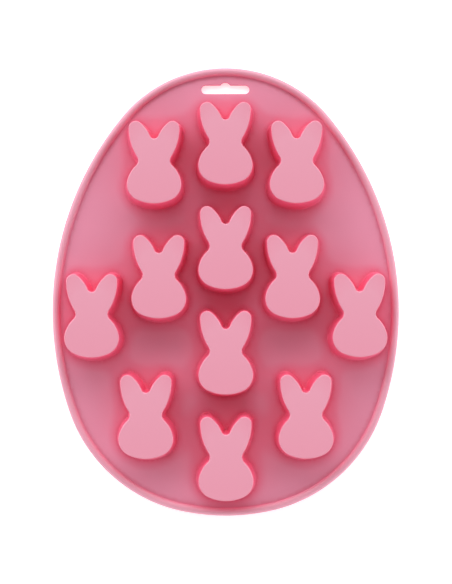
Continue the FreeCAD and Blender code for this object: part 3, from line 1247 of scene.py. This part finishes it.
class Band(Enum):
    """Heights of the light tent, as sines of the angle above the floor.

    The light of a band starts at the first height, is full from the second to the third, and is
    gone at the fourth.
    """

    WALL = (-1.0, -0.9, 0.25, 0.5)
    BELT = (0.25, 0.5, 0.5, 0.7)
    SHOULDER = (0.5, 0.7, 0.7, 0.85)


@dataclass(frozen=True)
class Panel:
    """A bright stretch of the light tent, all round or on one side.

    The side is the direction that it stands in, in degrees from +X towards +Y.
    """

    strength: float
    band: Band
    side: float | None = None


@dataclass
class Studio:
    """White floor, a light tent whose walls are bright and whose roof is dark, and the camera.

    The main light comes from the hanging slot's side, from half height up.  The aim, distance,
    sight and floor are in metres, the angles in degrees, the lens and sensor in millimetres.
    """

    aim: tuple[float, float, float] = (0.0002, -0.0011, 0.0)
    tilt: float = 2.67
    roll: float = -0.1
    distance: float = 0.849
    lens: float = 78.66
    sensor: float = 36.0
    sight: float = 20.0
    floor_reach: float = 3.0
    floor_gap: float = 0.0002
    panels: tuple[Panel, ...] = (
        Panel(0.95, Band.WALL), Panel(1.90, Band.BELT),
        Panel(0.70, Band.WALL, side=135), Panel(1.03, Band.WALL, side=315),
        Panel(2.70, Band.BELT, side=90), Panel(1.26, Band.BELT, side=135),
        Panel(1.88, Band.SHOULDER, side=90))

    def floor(self) -> None:
        """Plain white floor under the mould."""
        mesh = bpy.data.meshes.new("floor")
        sheet = [(x * self.floor_reach, y * self.floor_reach, -self.floor_gap)
                 for x, y in ((-1, -1), (1, -1), (1, 1), (-1, 1))]
        mesh.from_pydata(sheet, [], [(0, 1, 2, 3)])
        mesh.materials.append(StudioPaper().material())
        floor = bpy.data.objects.new("floor", mesh)
        bpy.context.scene.collection.objects.link(floor)

    def tent(self) -> None:
        """Light tent: the radiance in a direction is the sum of what its panels give there."""
        world = bpy.data.worlds.new("light_tent")
        tree = fresh_tree(world)
        ray = add_node(tree, "ShaderNodeTexCoord").outputs["Generated"]
        light = None
        for panel in self.panels:
            light = self._add_panel(tree, panel, ray, light)
        background = add_node(tree, "ShaderNodeBackground", Color=(1.0, 1.0, 1.0, 1.0),
                              Strength=light)
        add_node(tree, "ShaderNodeOutputWorld", Surface=background.outputs[0])
        bpy.context.scene.world = world

    @staticmethod
    def _add_panel(tree: bpy.types.NodeTree, panel: Panel, ray: bpy.types.NodeSocket,
                   light: bpy.types.NodeSocket | None) -> bpy.types.NodeSocket:
        """Adds one panel to the light so far.

        Its strength is the lower of the band's rise and fall, times the squared cosine of the
        angle round from its side, where it has one, and nothing behind that.

        Args:
            tree: the world's nodes.
            panel: what to add.
            ray: direction looked in.
            light: the light of the panels before, or None.

        Returns:
            The light with the panel's.
        """
        start, full, fade, end = panel.band.value
        height = add_node(tree, "ShaderNodeSeparateXYZ", i0=ray).outputs["Z"]
        rise = add_node(tree, "ShaderNodeMapRange", Value=height, i1=start, i2=full)
        fall = add_node(tree, "ShaderNodeMapRange", Value=height, i1=fade, i2=end, i3=1.0, i4=0.0)
        share = maths(tree, "MINIMUM", rise.outputs[0], fall.outputs[0])
        if panel.side is not None:
            turn = math.radians(panel.side)
            level = add_node(tree, "ShaderNodeVectorMath", {"operation": "MULTIPLY"}, i0=ray,
                             i1=(1.0, 1.0, 0.0))
            bearing = add_node(tree, "ShaderNodeVectorMath", {"operation": "NORMALIZE"},
                               i0=level.outputs[0])
            cosine = add_node(tree, "ShaderNodeVectorMath", {"operation": "DOT_PRODUCT"},
                              i0=bearing.outputs[0], i1=(math.cos(turn), math.sin(turn), 0.0))
            ahead = maths(tree, "MAXIMUM", cosine.outputs["Value"], 0.0)
            share = maths(tree, "MULTIPLY", share, maths(tree, "POWER", ahead, 2.0))
        return maths(tree, "MULTIPLY_ADD", share, panel.strength, 0.0 if light is None else light)

    def camera(self) -> None:
        """Camera nearly straight above, a little towards the broad end, turned by roll."""
        data = bpy.data.cameras.new("camera")
        data.lens = self.lens
        data.sensor_width = self.sensor
        data.clip_end = self.sight
        camera = bpy.data.objects.new("camera", data)
        tilt = math.radians(self.tilt)
        back = Vector((0.0, -math.sin(tilt), math.cos(tilt)))
        camera.location = Vector(self.aim) + back * self.distance
        turn = Matrix.Rotation(tilt, 3, "X") @ Matrix.Rotation(math.radians(self.roll), 3, "Z")
        camera.rotation_euler = turn.to_euler()
        bpy.context.scene.collection.objects.link(camera)
        bpy.context.scene.camera = camera

    def build(self) -> None:
        """Sets up the floor, the lights, the camera and plain colour handling."""
        self.floor()
        self.tent()
        self.camera()
        bpy.context.scene.view_settings.view_transform = "Standard"


def main() -> None:
    """Builds the mould and its studio."""
    logging.basicConfig(level=logging.INFO)
    rim_low, rim_high = np.array(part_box("rim_bead")) / MM
    outer_low, outer_high = np.array(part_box(Place.OUTER_LEFT.value)) / MM
    levels = Levels(deck=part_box("deck_sheet")[1][2] / MM, rim=rim_high[2],
                    top=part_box(Place.FIRST.value)[1][2] / MM)
    silicone = MouldedSilicone("moulded_silicone", levels.top).material()
    # The bead's own copy is painted lighter on its steep sides and over a deeper band at its top:
    # painted light for the low light the bead catches.
    rim_finish = MouldedSilicone("rim_silicone", levels.rim, painted_light_start=2.4, painted_light_full=0.4,
                              steep_shading="F3A4BC").material()

    cups = []
    for place in Place:
        centre = np.mean(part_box(place.value), axis=0) / MM
        cups.append(CupSkin(place, (float(centre[0]), float(centre[1])), levels))
    feet = np.concatenate([cup.foot() for cup in cups])
    for cup in cups:
        cup.dress(cup.build(feet), silicone)

    egg = EggShape(half_width=(rim_high[0] - rim_low[0]) / 2, length=rim_high[1] - rim_low[1],
                   widest_y=(outer_low[1] + outer_high[1]) / 2 + WIDEST_ABOVE_OUTER)
    rim = RimSkin(egg, levels)
    rim.dress(rim.build(), rim_finish)

    mount = next(m for m in frame["record"]["mounts"] if m["name"] == SLOT_MOUNT)
    deck = DeckSkin(cups, rim, (0.0, mount["pos_m"][1] / MM))
    deck.dress(deck.build(), silicone)
    Studio().build()


if __name__ == "__main__":
    main()
